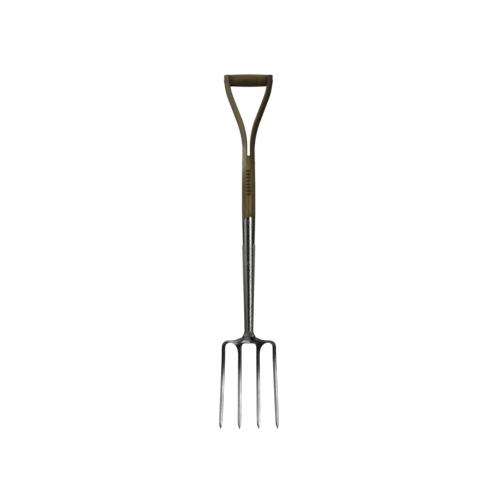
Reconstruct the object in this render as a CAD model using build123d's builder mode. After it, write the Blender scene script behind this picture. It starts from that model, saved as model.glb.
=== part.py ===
from build123d import *
import math
import os

# A digging fork: a forged four-tine head welded to a strapped steel socket, on an ash shaft whose
# top is split and bent into a Y that carries a turned cross grip. Millimetres. Z runs up the shaft
# from the tine tips, X runs across the head, and the front, where the tines curve, faces -Y.

# Overall
shaft_y = 1.044  # the shaft axis, set back so that the whole fork is centred front to back

# Tine head, seen from the front
gap_top = 241.4  # underside of the crown bar in the middle gap
crown_top = 251.0
neck_top = 262.0  # flat top of the boss that the socket stands on
inner_root = 26.0  # centre of an inner tine at the crown
inner_tip = 27.2
outer_root = 72.7  # centre of an outer tine at the crown
outer_tip = 81.0
tine_width = 11.2
point_width = 12.2
gap_corner = 8.5
arch_top = 243.5  # crown of the arch between an inner and an outer tine
arch_x = 52.0
arch_height = 31.5
arch_outer_radius = 12.0
shoulder_radius = 18.0
arm_end_x = 44.0
arm_sweep = (31.0, 254.0)  # a point of the hollow curve from the arm up to the boss
neck_half = 20.0
neck_half_depth = 14.6
neck_foot_half = 34.0
neck_foot_drop = 6.0  # how far under the top of the arms the boss starts to swell

# Tine head, seen from the side: a band bent to one long arc, thinning to the tips
bend_radius = 800.0
tip_angle = 14.0  # lean of the tips to the front, degrees from vertical
root_depth = 13.0
point_depth = 9.4
tine_ridge = 3.6  # how far the sloping front facets fall from the ridge to the sides
tine_root = 205.0  # where the tines leave the crown
# Height and size of each cross-section, as a share of the full one, from the tip up into the root
tine_stations = ((0, 0.12), (8, 0.62), (18, 0.98), (32, 1), (65, 1), (100, 1), (135, 1), (170, 1), (208, 1))

# Socket: a rolled cone shell with a front and a back strap
socket_base = 262.0
socket_collar = 523.0  # top of the closed cone, where the straps begin
strap_top = 603.5
socket_base_r = 12.69
socket_collar_r = 19.0
strap_half = 12.2
strap_corner = 5.0
shell_gap = 0.06
weld_top = 277.0
weld_waist = 268.8
# Half width and half depth of the weld bead at its foot and at its waist
weld_foot = (19.0, 14.0)
weld_middle = (14.9, 13.5)
spigot_r = 10.2
spigot_top = 281.0

# Ash shaft
shaft_bottom = 290.0
shaft_bottom_r = 11.2
shaft_full = 615.0  # where the cone that fills the socket ends
shaft_r = 19.5
waist_start = 690.0
waist = 766.0  # where the faces of the two limbs begin
waist_r = 18.3
waist_overlap = 4.0
slot_bottom = 777.0
slot_width = 7.0
slot_length = 90.0

# Limbs of the Y
limb_start = 765.0
limb_start_x = 10.3
limb_bend = 837.5
grip_bend = 970.3
limb_end_x = 61.5
limb_top = 1008.0
lower_bend_radius = 245.0
upper_bend_radius = 170.0
limb_start_width = 14.8
limb_mid_width = 17.3
limb_end_width = 16.4
limb_start_depth = 35.0
limb_mid_depth = 33.0
limb_end_depth = 31.0
limb_edge = 5.0
limb_top_edge = 0.8

# Cross grip and its rod
grip_z = 992.4
grip_mid_r = 18.2
grip_end_r = 16.8
tenon_r = 8.0
tenon_length = 6.0
rod_r = 3.0
washer_r = 7.5
washer_thick = 1.6
fit_gap = 0.05
rod_head_r = 4.6
rod_head_rise = 0.6
peen_taper = 35

# Rivets
strap_rivet_z = (470.0, 588.0)
strap_rivet_r = 3.0
strap_head_r = 4.7
strap_head_depth = 1.7
strap_hole_depth = 8.0
crotch_rivet_z = 757.0
crotch_rivet_r = 2.4
crotch_head_r = 3.8
crotch_head_rise = 0.3
burr_r = 5.5
burr_thick = 1.2
burr_seat_depth = 1.2  # flat let into the round neck, so that each burr is flush

clear = 60.0  # reach of a cut that has to pass right through

os.makedirs("parts", exist_ok=True)

shaft_axis = Axis((0, shaft_y, 0), (0, 0, 1))
shaft_plane = Plane((0, shaft_y, 0), x_dir=(1, 0, 0), z_dir=(0, -1, 0))


def on_cone(z, low, high):
    """Radius at height z of the cone through two (height, radius) points."""
    return low[1] + (high[1] - low[1]) * (z - low[0]) / (high[0] - low[0])


def socket_outer(z):
    return on_cone(z, (socket_base, socket_base_r), (socket_collar, socket_collar_r))


def shaft_cone(z):
    return on_cone(z, (shaft_bottom, shaft_bottom_r), (shaft_full, shaft_r))


# Forged tine head -------------------------------------------------------------------------------

arm_z = (gap_top + crown_top) / 2
bend_z = bend_radius * math.sin(math.radians(tip_angle))
crown_angle = math.asin((bend_z - arm_z) / bend_radius)
bend_y = shaft_y - bend_radius * math.cos(crown_angle)


def band_point(z, offset):
    """A point of the head's bent centre surface at height z, moved offset to the back of it."""
    angle = math.asin((bend_z - z) / bend_radius)
    reach = bend_radius + offset
    return (bend_y + reach * math.cos(angle), bend_z - reach * math.sin(angle))


def tine_x(z, root_x, tip_x):
    """Where a tine's centre line stands at height z."""
    return on_cone(z, (0, tip_x), (tine_root, root_x))


def tine_outline(z, x, size):
    """A tine's cross-section: flat back, two sides and a front that rises to a middle ridge."""
    share = z / tine_root
    half = size * (point_width + (tine_width - point_width) * share) / 2
    back = size * (point_depth + (root_depth - point_depth) * share) / 2
    ridge = tine_ridge * size * max(1 - share**4, 0)
    centre = band_point(z, 0)[0]
    return [
        (x - half, centre + back),
        (x + half, centre + back),
        (x + half, centre - back + ridge),
        (x, centre - back),
        (x - half, centre - back + ridge),
    ]


with BuildSketch(Plane.XZ) as crown_front:
    with BuildLine():
        arch_foot = arch_top - arch_height
        inner_face = tine_x(arch_foot, inner_root, inner_tip) + tine_width / 2
        FilletPolyline(
            (0, gap_top),
            (inner_root - tine_width / 2, gap_top),
            (inner_root - tine_width / 2, tine_root),
            (inner_face, tine_root),
            (inner_face, arch_foot),
            radius=[gap_corner, 0, 0],
        )
        EllipticalCenterArc(
            (arch_x, arch_foot), arch_x - inner_face, arch_height, start_angle=90, arc_size=90
        )
        FilletPolyline(
            (arch_x, arch_top),
            (outer_root - tine_width / 2, arch_top),
            (outer_root - tine_width / 2, tine_root),
            (outer_root + tine_width / 2, tine_root),
            (outer_root + tine_width / 2, crown_top),
            (arm_end_x, crown_top),
            radius=[arch_outer_radius, 0, 0, shoulder_radius],
        )
        ThreePointArc((arm_end_x, crown_top), arm_sweep, (neck_half, neck_top))
        Polyline((neck_half, neck_top), (0, neck_top), (0, gap_top))
    make_face()
    mirror(about=Plane.YZ)

with BuildSketch(Plane.YZ) as crown_side:
    with BuildLine():
        top_z = neck_top + 2
        foot_z = tine_root - 2
        half_depth = root_depth / 2
        ThreePointArc(
            band_point(top_z, half_depth), band_point(arm_z, half_depth), band_point(foot_z, half_depth)
        )
        Line(band_point(foot_z, half_depth), band_point(foot_z, -half_depth))
        ThreePointArc(
            band_point(foot_z, -half_depth), band_point(arm_z, -half_depth), band_point(top_z, -half_depth)
        )
        Line(band_point(top_z, -half_depth), band_point(top_z, half_depth))
    make_face()

with BuildPart() as tine_head:
    extrude(crown_front.sketch, amount=clear, both=True)
    extrude(crown_side.sketch, amount=2 * clear, both=True, mode=Mode.INTERSECT)
    for side in (-1, 1):
        for root_x, tip_x in ((inner_root, inner_tip), (outer_root, outer_tip)):
            for z, size in tine_stations:
                with BuildSketch(Plane.XY.offset(z)):
                    with BuildLine():
                        Polyline(*tine_outline(z, side * tine_x(z, root_x, tip_x), size), close=True)
                    make_face()
            loft(ruled=True)
    with BuildSketch(Plane.XY.offset(crown_top - neck_foot_drop)):
        with Locations((0, shaft_y)):
            Ellipse(neck_foot_half, root_depth / 2 - 1)
    with BuildSketch(Plane.XY.offset(neck_top)):
        with Locations((0, shaft_y)):
            Ellipse(neck_half, neck_half_depth)
    loft()
    with BuildSketch(Plane.XY.offset(neck_top)):
        with Locations((0, shaft_y)):
            Circle(spigot_r)
    extrude(amount=spigot_top - neck_top)
tine_head.part.label = "tine_head"
export_step(tine_head.part, "parts/tine_head.step")

# Socket -----------------------------------------------------------------------------------------

with BuildPart() as socket:
    with BuildSketch(shaft_plane):
        with BuildLine():
            inner_low = shaft_cone(socket_base) + shell_gap
            inner_high = shaft_cone(strap_top) + shell_gap
            Polyline(
                (inner_low, socket_base),
                (socket_outer(socket_base), socket_base),
                (socket_outer(strap_top), strap_top),
                (inner_high, strap_top),
                close=True,
            )
        make_face()
    revolve(axis=shaft_axis)
    with BuildSketch(shaft_plane) as beside_straps:
        with BuildLine():
            shoulder = FilletPolyline(
                (clear, socket_collar),
                (strap_half, socket_collar),
                (strap_half, strap_top - strap_half),
                radius=strap_corner,
            )
            TangentArc(shoulder @ 1, (0, strap_top), tangent=(0, 1))
            Polyline((0, strap_top), (0, strap_top + clear), (clear, strap_top + clear), (clear, socket_collar))
        make_face()
        mirror(about=Plane.YZ)
    extrude(amount=clear, both=True, mode=Mode.SUBTRACT)
    for rivet_z in strap_rivet_z:
        for side in (-1, 1):
            seat = Plane(
                (0, shaft_y + side * socket_outer(rivet_z), rivet_z), x_dir=(1, 0, 0), z_dir=(0, side, 0)
            )
            with Locations(seat):
                CounterSinkHole(
                    radius=strap_rivet_r,
                    counter_sink_radius=strap_head_r,
                    depth=strap_hole_depth,
                    counter_sink_angle=90,
                )
socket.part.label = "socket"
export_step(socket.part, "parts/socket.step")

# Weld bead around the socket's foot -------------------------------------------------------------

with BuildPart() as socket_weld:
    for z, half_x, half_y in (
        (neck_top, *weld_foot),
        (weld_waist, *weld_middle),
        (weld_top, socket_outer(weld_top) + fit_gap, socket_outer(weld_top) + fit_gap),
    ):
        with BuildSketch(Plane.XY.offset(z)):
            with Locations((0, shaft_y)):
                Ellipse(half_x, half_y)
    loft(ruled=True)
    with BuildSketch(shaft_plane):
        with BuildLine():
            Polyline(
                (0, neck_top),
                (socket_outer(neck_top), neck_top),
                (socket_outer(weld_top), weld_top),
                (0, weld_top),
                close=True,
            )
        make_face()
    revolve(axis=shaft_axis, mode=Mode.SUBTRACT)
socket_weld.part.label = "socket_weld"
export_step(socket_weld.part, "parts/socket_weld.step")

# Ash shaft with the two limbs of the Y ----------------------------------------------------------

bend_lean = math.atan2(limb_end_x - limb_start_x, grip_bend - limb_bend)
neck_seat = on_cone(crotch_rivet_z, (waist_start, shaft_r), (waist, waist_r)) - burr_seat_depth
neck_across = Plane((0, shaft_y, crotch_rivet_z), x_dir=(0, 1, 0), z_dir=(1, 0, 0))


def limb_section(x, z, lean, width, depth):
    """A half-round section, flat to the inside of the Y, square to a limb leaning out by lean."""
    plane = Plane(
        (x, shaft_y, z),
        x_dir=(math.cos(lean), 0, -math.sin(lean)),
        z_dir=(math.sin(lean), 0, math.cos(lean)),
    )
    with BuildSketch(plane) as section:
        with BuildLine():
            ThreePointArc((-width / 2, depth / 2), (width / 2, 0), (-width / 2, -depth / 2))
            Line((-width / 2, -depth / 2), (-width / 2, depth / 2))
        make_face()
        fillet(section.vertices(), limb_edge)
    return section.sketch


with BuildLine(shaft_plane) as limb_path:
    FilletPolyline(
        (limb_start_x, limb_start),
        (limb_start_x, limb_bend),
        (limb_end_x, grip_bend),
        (limb_end_x, limb_top),
        radius=[lower_bend_radius, upper_bend_radius],
    )

limb_sections = [
    limb_section(limb_start_x, limb_start, 0, limb_start_width, limb_start_depth),
    limb_section(
        (limb_start_x + limb_end_x) / 2,
        (limb_bend + grip_bend) / 2,
        bend_lean,
        limb_mid_width,
        limb_mid_depth,
    ),
    limb_section(limb_end_x, limb_top, 0, limb_end_width, limb_end_depth),
]

with BuildPart() as ash_shaft:
    with BuildSketch(shaft_plane):
        with BuildLine():
            Polyline(
                (0, shaft_bottom),
                (shaft_bottom_r, shaft_bottom),
                (shaft_r, shaft_full),
                (shaft_r, waist_start),
                (waist_r, waist),
                (0, waist),
                close=True,
            )
        make_face()
    revolve(axis=shaft_axis)
    with BuildSketch(Plane.XY.offset(waist - waist_overlap)):
        with Locations((0, shaft_y)):
            Circle(limb_start_depth / 2)
    extrude(amount=slot_bottom + slot_width - waist + waist_overlap)
    sweep(sections=limb_sections, path=limb_path.wire(), multisection=True)
    mirror(about=Plane.YZ)
    with BuildSketch(shaft_plane):
        with Locations((0, slot_bottom + slot_length / 2)):
            SlotOverall(slot_length, slot_width, rotation=90)
    extrude(amount=clear, both=True, mode=Mode.SUBTRACT)
    fillet(ash_shaft.faces().sort_by(Axis.Z)[-2:].edges(), limb_top_edge)
    with Locations(Plane((0, shaft_y, grip_z), x_dir=(0, 1, 0), z_dir=(1, 0, 0))):
        Cylinder(rod_r + fit_gap, 3 * clear, mode=Mode.SUBTRACT)
        mortise_reach = limb_end_x - limb_end_width / 2 + tenon_length + fit_gap
        Cylinder(tenon_r + fit_gap, 2 * mortise_reach, mode=Mode.SUBTRACT)
    for side in (-1, 1):
        outer_x = limb_end_x + limb_end_width / 2
        with Locations(Plane((side * outer_x, shaft_y, grip_z), x_dir=(0, 1, 0), z_dir=(side, 0, 0))):
            Cylinder(washer_r + fit_gap, 2 * washer_thick, mode=Mode.SUBTRACT)
    for rivet_z in strap_rivet_z:
        with Locations(Plane((0, shaft_y, rivet_z), x_dir=(1, 0, 0), z_dir=(0, 1, 0))):
            Cylinder(strap_rivet_r + fit_gap, clear, mode=Mode.SUBTRACT)
    with Locations(neck_across):
        Cylinder(crotch_rivet_r + fit_gap, clear, mode=Mode.SUBTRACT)
    for side in (-1, 1):
        with BuildSketch(neck_across.offset(side * neck_seat)):
            Circle(burr_r + fit_gap)
        extrude(amount=side * washer_r, mode=Mode.SUBTRACT)
ash_shaft.part.label = "ash_shaft"
export_step(ash_shaft.part, "parts/ash_shaft.step")

# Turned cross grip and the steel rod that pins it between the limbs -------------------------------

grip_half = limb_end_x - limb_end_width / 2
limb_face = limb_end_x + limb_end_width / 2
across = Plane((0, shaft_y, grip_z), x_dir=(0, 1, 0), z_dir=(1, 0, 0))
grip_plane = Plane((0, shaft_y, grip_z), x_dir=(1, 0, 0), z_dir=(0, -1, 0))
grip_axis = Axis((0, shaft_y, grip_z), (1, 0, 0))

with BuildPart() as cross_grip:
    with BuildSketch(grip_plane):
        with BuildLine():
            barrel = ThreePointArc((-grip_half, grip_end_r), (0, grip_mid_r), (grip_half, grip_end_r))
            Polyline(
                barrel @ 1,
                (grip_half, tenon_r),
                (grip_half + tenon_length, tenon_r),
                (grip_half + tenon_length, rod_r + fit_gap),
                (-grip_half - tenon_length, rod_r + fit_gap),
                (-grip_half - tenon_length, tenon_r),
                (-grip_half, tenon_r),
                barrel @ 0,
            )
        make_face()
    revolve(axis=grip_axis)
cross_grip.part.label = "cross_grip"
export_step(cross_grip.part, "parts/cross_grip.step")

with BuildPart() as grip_rod:
    with BuildSketch(across):
        Circle(rod_r)
    extrude(amount=limb_face, both=True)
    for side in (-1, 1):
        with BuildSketch(across.offset(side * limb_face)):
            Circle(rod_head_r)
        extrude(amount=side * rod_head_rise, taper=peen_taper)
grip_rod.part.label = "grip_rod"
export_step(grip_rod.part, "parts/grip_rod.step")

for name, side in (("grip_washer_left", -1), ("grip_washer_right", 1)):
    with BuildPart() as grip_washer:
        with BuildSketch(across.offset(side * (limb_face - washer_thick))):
            Circle(washer_r)
            Circle(rod_r + fit_gap, mode=Mode.SUBTRACT)
        extrude(amount=side * washer_thick)
    grip_washer.part.label = name
    export_step(grip_washer.part, f"parts/{name}.step")

# Rivets through the straps ------------------------------------------------------------------------

for name, rivet_z in (("strap_rivet_lower", strap_rivet_z[0]), ("strap_rivet_upper", strap_rivet_z[1])):
    with BuildPart() as strap_rivet:
        face = socket_outer(rivet_z)
        with BuildSketch(Plane((0, shaft_y, rivet_z), x_dir=(1, 0, 0), z_dir=(0, 1, 0))):
            Circle(strap_rivet_r - fit_gap)
        extrude(amount=face, both=True)
        for side in (-1, 1):
            with BuildSketch(Plane((0, shaft_y + side * face, rivet_z), x_dir=(1, 0, 0), z_dir=(0, -side, 0))):
                Circle(strap_head_r - fit_gap)
            extrude(amount=strap_head_depth, taper=45)
    strap_rivet.part.label = name
    export_step(strap_rivet.part, f"parts/{name}.step")

# Rivet across the neck of the Y, which stops the split from running, and its two burrs ------------

with BuildPart() as crotch_rivet:
    with BuildSketch(neck_across):
        Circle(crotch_rivet_r)
    extrude(amount=neck_seat + burr_thick, both=True)
    for side in (-1, 1):
        with BuildSketch(neck_across.offset(side * (neck_seat + burr_thick))):
            Circle(crotch_head_r)
        extrude(amount=side * crotch_head_rise, taper=peen_taper)
crotch_rivet.part.label = "crotch_rivet"
export_step(crotch_rivet.part, "parts/crotch_rivet.step")

for name, side in (("crotch_burr_left", -1), ("crotch_burr_right", 1)):
    with BuildPart() as crotch_burr:
        with BuildSketch(neck_across.offset(side * neck_seat)):
            Circle(burr_r)
            Circle(crotch_rivet_r + fit_gap, mode=Mode.SUBTRACT)
        extrude(amount=side * burr_thick)
    crotch_burr.part.label = name
    export_step(crotch_burr.part, f"parts/{name}.step")
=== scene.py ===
from functools import partial
from math import asin, atan2, copysign, cos, hypot, pi, radians, sin, sqrt, tan

import bmesh
import bpy
import numpy as np
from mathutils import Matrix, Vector, noise


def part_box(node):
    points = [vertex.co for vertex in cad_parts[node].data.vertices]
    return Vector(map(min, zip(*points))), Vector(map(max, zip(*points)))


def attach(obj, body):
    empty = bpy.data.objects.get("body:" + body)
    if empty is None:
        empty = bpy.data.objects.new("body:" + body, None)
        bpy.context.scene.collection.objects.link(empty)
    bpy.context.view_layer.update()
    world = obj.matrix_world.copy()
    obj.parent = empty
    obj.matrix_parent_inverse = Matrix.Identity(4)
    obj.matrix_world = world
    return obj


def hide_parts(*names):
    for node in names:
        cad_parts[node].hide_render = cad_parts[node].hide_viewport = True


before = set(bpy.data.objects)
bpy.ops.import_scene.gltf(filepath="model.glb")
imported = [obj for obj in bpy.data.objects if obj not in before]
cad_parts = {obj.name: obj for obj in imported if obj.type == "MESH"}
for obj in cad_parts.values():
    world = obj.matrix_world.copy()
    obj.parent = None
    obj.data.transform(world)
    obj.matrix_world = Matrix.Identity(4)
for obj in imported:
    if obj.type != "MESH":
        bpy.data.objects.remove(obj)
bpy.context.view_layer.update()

# A digging fork: a forged steel head, a strapped socket and an ash shaft with a Y grip.
# Metres. The tine tips are at z = 0, the shaft runs up Z and the front faces -Y.

scene = bpy.context.scene
MM = 0.001  # the head's plan is in millimetres

# --- Sizes read from the frame ---

socket_low, socket_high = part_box("socket")
weld_low, weld_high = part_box("socket_weld")
shaft_low, shaft_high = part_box("ash_shaft")
grip_low, grip_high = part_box("cross_grip")
rod_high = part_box("grip_rod")[1]
burr_low, burr_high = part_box("crotch_burr_right")
upper_rivet_low, upper_rivet_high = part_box("strap_rivet_upper")
lower_rivet_low, lower_rivet_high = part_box("strap_rivet_lower")

AXIS_Y = (socket_low.y + socket_high.y) / 2
SOCKET_BASE = socket_low.z
STRAP_TOP = socket_high.z
NECK_TOP = weld_low.z
WELD_TOP = weld_high.z
GRIP_Z = (grip_low.z + grip_high.z) / 2
PEEN_HEIGHT = 0.0006  # how far the rod's domed heads stand out of the limbs
LIMB_FACE = rod_high.x - PEEN_HEIGHT
CROTCH_RIVET_Z = (burr_low.z + burr_high.z) / 2
BURR_FACE, BURR_BACK = burr_high.x, burr_low.x
UPPER_RIVET_Z = (upper_rivet_low.z + upper_rivet_high.z) / 2
LOWER_RIVET_Z = (lower_rivet_low.z + lower_rivet_high.z) / 2


# --- Mesh helpers ---

def new_piece(name, points, faces):
    """A smooth mesh object from points and faces, with its normals turned outwards."""
    mesh = bpy.data.meshes.new(name)
    mesh.from_pydata([tuple(p) for p in points], [], faces)
    bm = bmesh.new()
    bm.from_mesh(mesh)
    bmesh.ops.recalc_face_normals(bm, faces=bm.faces)
    bm.to_mesh(mesh)
    bm.free()
    for polygon in mesh.polygons:
        polygon.use_smooth = True
    piece = bpy.data.objects.new(name, mesh)
    scene.collection.objects.link(piece)
    return piece


def soften(piece, width):
    """Rounds a piece's sharp edges."""
    bevel = piece.modifiers.new("edges", "BEVEL")
    bevel.width = width
    bevel.segments = 3
    bevel.limit_method = "ANGLE"
    bevel.angle_limit = radians(40)
    bevel.harden_normals = True


def place(piece, node, material):
    """The piece stands for one CAD node, on the fork's one body."""
    piece.data.materials.clear()
    piece.data.materials.append(material)
    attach(piece, "root")
    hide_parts(node)


def grid_faces(rows, columns, closed):
    """Quads of a grid of rows x columns points, whose rows close into rings if closed."""
    faces = []
    for i in range(rows - 1):
        for j in range(columns if closed else columns - 1):
            k = (j + 1) % columns
            low, high = i * columns, (i + 1) * columns
            faces.append((low + j, low + k, high + k, high + j))
    return faces


def turns(count):
    return [2 * pi * j / count for j in range(count)]


def closed_grid(rows, columns):
    """Quads of rings of points, the last of which joins the first."""
    last = (rows - 1) * columns
    closing = [(last + j, last + (j + 1) % columns, (j + 1) % columns, j) for j in range(columns)]
    return grid_faces(rows, columns, True) + closing


def lathe(name, profile, centre, axis, segments):
    """Turns a profile of (radius, way along the axis) points, which starts and ends on the axis."""
    axis = Vector(axis)
    side = axis.orthogonal().normalized()
    other = axis.cross(side)
    ring = [(r, d) for r, d in profile if r > 0]
    points = []
    for r, d in ring:
        for turn in turns(segments):
            points.append(centre + axis * d + (side * cos(turn) + other * sin(turn)) * r)
    faces = grid_faces(len(ring), segments, True)
    bottom_end, top_end = len(points), len(points) + 1
    points += [centre + axis * profile[0][1], centre + axis * profile[-1][1]]
    top = (len(ring) - 1) * segments
    for j in range(segments):
        k = (j + 1) % segments
        faces += [(j, k, bottom_end), (top + j, top + k, top_end)]
    return new_piece(name, points, faces)


# --- Forged head: one plan drawn from the front, given a front and a back, and subdivided ---

BEND_R = 800.0  # the whole head is bent to this arc, in millimetres like all of the plan
TIP_LEAN = radians(14)
BAR_Z = 246.2  # middle of the crown bar
BEND_Z = BEND_R * sin(TIP_LEAN)
BEND_Y = AXIS_Y / MM - sqrt(BEND_R**2 - (BEND_Z - BAR_Z) ** 2)

TINE_ROOT = 205.0
INNER_ROOT, INNER_TIP = 26.0, 27.2
OUTER_ROOT, OUTER_TIP = 72.7, 81.0
ROOT_HALF_WIDTH, POINT_HALF_WIDTH = 5.6, 6.1
ROOT_HALF_DEPTH, POINT_HALF_DEPTH = 6.4, 4.7
FRONT_RIDGE = 2.2  # how far the front facets fall from the ridge to the side
BACK_RIDGE = 1.0

# Rows up a tine: (height, share of its full size), from the tip through a short bullet point
TINE_ROWS = ((0, 0.13), (1.5, 0.24), (6, 0.52), (12, 0.80), (18, 0.97))
TINE_ROWS += tuple((z, 1.0) for z in (26, 45, 75, 105, 135, 165, 190, TINE_ROOT))

GAP_TOP = 241.4  # underside of the bar, between the inner tines
GAP_CORNER_R = 8.5
ARCH_X, ARCH_FOOT_Z, ARCH_RISE = 52.0, 212.0, 31.5  # hollow between an inner and an outer tine
ARCH_CORNER_R = 12.0
SHOULDER_R = 18.0
ARM_TOP = 251.0

# Plan points (x, z) where an inner tine meets the bar: under it, on the ridge and at the neck
ROOT_LOW, ROOT_RIDGE, ROOT_CREST = (26.6, 238.4), (26.9, 246.6), (26.4, 256.8)
GAP_SIDE_RIDGE, GAP_SIDE_CREST = (19.4, 246.4), (18.6, 254.4)
ARM_SIDE_RIDGE, ARM_SIDE_TOP = (36.4, 245.4), (36.2, 252.8)
# Rows across the bar under the neck: (x on the ridge, where the neck's foot meets the plan)
BAR_ROWS = ((0, (0, 252.6)), (6.0, (6.0, 252.6)), (12.2, (11.9, 252.8)), (15.8, (15.3, 253.4)))
ARM_INNER_TOP, ARM_FLAT_X = (44.0, 251.5), 51.4
CORNER_TURNS = (67, 45, 22, 0)  # degrees of the rows round a shoulder

NECK_HALF_X, NECK_HALF_Y = 19.9, 14.6
NECK_FOOT_Z, NECK_FOOT_HALF_X, NECK_FOOT_HALF_Y = 245.0, 34.0, 5.5
NECK_SHOULDER_LIFT = 1.6
RING_X = (0, 6.0, 11.4, 14.8, 17.7)  # points round a quarter of the boss's rim
DISC_X = (0, 6.4, 12.2, 16.2, NECK_HALF_X)  # and across its flat top
EDGE_CREASE = 0.45
RIDGE_CREASE = 0.52
RIM_CREASE = 0.8


def band_y(z):
    """The head's bent middle surface at height z."""
    return BEND_Y + sqrt(BEND_R**2 - (BEND_Z - z) ** 2)


def plan_point(x, z, half_depth, edge):
    """A point of the plan: (x, z, how far the front stands out, how far the back stands out)."""
    front = half_depth - (FRONT_RIDGE * half_depth / ROOT_HALF_DEPTH if edge else 0)
    back = half_depth - (BACK_RIDGE * half_depth / ROOT_HALF_DEPTH if edge else 0)
    return (round(x, 4), round(z, 4), round(front, 4), round(back, 4))


def neck_depth(x, z):
    """How far the neck stands out at a point of the plan, on its way up to the oval boss."""
    share = (z - NECK_FOOT_Z) / (NECK_TOP / MM - NECK_FOOT_Z)
    half_x = NECK_FOOT_HALF_X + (NECK_HALF_X - NECK_FOOT_HALF_X) * share
    half_y = NECK_FOOT_HALF_Y + (NECK_HALF_Y - NECK_FOOT_HALF_Y) * share
    return half_y * sqrt(1 - (x / half_x) ** 2)


def plan_row(low, high, half_depth=ROOT_HALF_DEPTH, middle=None, crest=False):
    """An edge, a ridge and another edge point across a bar or a tine; a crest meets the neck."""
    middle = middle or ((low[0] + high[0]) / 2, (low[1] + high[1]) / 2)
    top = plan_point(*high, half_depth, True)
    if crest:
        top = plan_point(*high, neck_depth(*high), False)
    return [plan_point(*low, half_depth, True), plan_point(*middle, half_depth, False), top]


def tine_row(z, root_x, tip_x, size):
    share = min(z / TINE_ROOT, 1.0)
    x = tip_x + (root_x - tip_x) * share
    half = size * (POINT_HALF_WIDTH + (ROOT_HALF_WIDTH - POINT_HALF_WIDTH) * share)
    depth = size * (POINT_HALF_DEPTH + (ROOT_HALF_DEPTH - POINT_HALF_DEPTH) * share)
    return plan_row((x - half, z), (x + half, z), depth)


def arc_point(x, z, radius_x, radius_z, degrees):
    turn = radians(degrees)
    return (x + radius_x * cos(turn), z + radius_z * sin(turn))


def tine_rows(root_x, tip_x):
    return [tine_row(z, root_x, tip_x, size) for z, size in TINE_ROWS]


def head_plan():
    """Strips of rows for the right half, and the columns whose tops carry the neck."""
    gap_x = INNER_ROOT - ROOT_HALF_WIDTH
    arch_top = ARCH_FOOT_Z + ARCH_RISE
    outer_in, outer_out = OUTER_ROOT - ROOT_HALF_WIDTH, OUTER_ROOT + ROOT_HALF_WIDTH
    gap = partial(
        arc_point, gap_x - GAP_CORNER_R, GAP_TOP - GAP_CORNER_R, GAP_CORNER_R, GAP_CORNER_R
    )
    arch = partial(arc_point, ARCH_X, ARCH_FOOT_Z, INNER_ROOT + ROOT_HALF_WIDTH - ARCH_X, ARCH_RISE)
    inside = partial(
        arc_point, outer_in - ARCH_CORNER_R, arch_top - ARCH_CORNER_R, ARCH_CORNER_R, ARCH_CORNER_R
    )
    outside = partial(
        arc_point, outer_out - SHOULDER_R, ARM_TOP - SHOULDER_R, SHOULDER_R, SHOULDER_R
    )
    left = plan_row(gap(45), GAP_SIDE_CREST, middle=GAP_SIDE_RIDGE, crest=True)
    centre = plan_row(ROOT_LOW, ROOT_CREST, middle=ROOT_RIDGE)
    centre[0] = plan_point(*ROOT_LOW, ROOT_HALF_DEPTH, False)
    right = plan_row(arch(45), ARM_SIDE_TOP, middle=ARM_SIDE_RIDGE)
    feet = [(x, GAP_TOP) for x, crest in BAR_ROWS[:2]] + [gap(90), gap(67)]
    bar = [
        plan_row(foot, crest, middle=(x, BAR_Z), crest=True)
        for foot, (x, crest) in zip(feet, BAR_ROWS)
    ]
    bar.append(left)
    arm = [right, plan_row(arch(67), ARM_INNER_TOP), plan_row(arch(90), (ARM_FLAT_X, ARM_TOP))]
    arm += [plan_row(inside(turn), outside(turn)) for turn in (90, *CORNER_TURNS)]
    root = tine_rows(INNER_ROOT, INNER_TIP)
    root += [plan_row((gap_x, 214), arch(4)), plan_row((gap_x, 226), arch(21))]
    root += [plan_row(gap(10), arch(34)), [left[0], centre[0], right[0]]]
    outer = tine_rows(OUTER_ROOT, OUTER_TIP) + [arm[-1]]
    return [root, bar, [left, centre, right], arm, outer], bar, centre


def same(point):
    return point


def flip(point):
    """The plan point of the left half for one of the right half."""
    return (-point[0] if point[0] else 0.0, *point[1:])


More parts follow.
